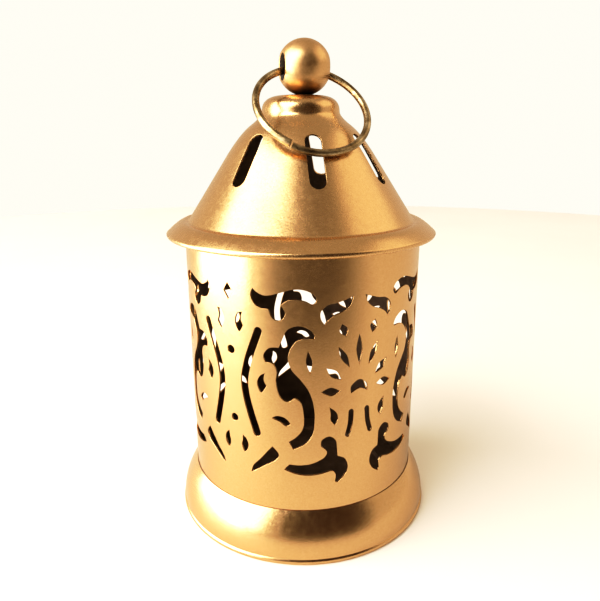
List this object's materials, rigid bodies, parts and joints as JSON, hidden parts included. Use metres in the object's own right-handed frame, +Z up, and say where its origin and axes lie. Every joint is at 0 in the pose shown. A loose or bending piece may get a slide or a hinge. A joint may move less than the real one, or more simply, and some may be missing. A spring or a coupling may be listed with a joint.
{
  "type": "mini lantern",
  "caption": "Small round candle lantern of gold-painted sheet metal: pierced scrollwork wall on a foot ring, lift-off conical roof with air slots, ball finial and swinging wire ring.",
  "frame": {"origin": "on the table, at the centre of the foot ring", "axes": "+Z up along the wall's axis, -Y towards the front as pictured, +X to its right"},
  "size_m": [0.0598, 0.0596, 0.1053],
  "materials": {
    "gold_paint": "satin gold with a fine pebbled texture",
    "dark_paint": "matt brown gold, in the shade inside",
    "brass": "antique, slightly worn",
    "steel": "plain"
  },
  "bodies": {
    "lantern": {"pierced_wall": "gold_paint", "base_skirt": "gold_paint", "candle_floor": "dark_paint"},
    "lid": {"roof": "gold_paint", "roof_collar": "dark_paint", "finial_ball": "gold_paint", "finial_washer": "steel", "finial_screw": "steel"},
    "ring": {"hanging_ring": "brass"}
  },
  "joints": [
    {"name": "roof_lift", "type": "slide", "parent": "lantern", "child": "lid", "axis": [0, 0, 1], "range_m": [0, 0.015]},
    {"name": "ring_swing", "type": "hinge", "parent": "lid", "child": "ring", "pos_m": [0.0004, 0, 0.09921], "axis": [-0.9641, -0.2583, 0.0611], "range_deg": [0, 268]}
  ]
}
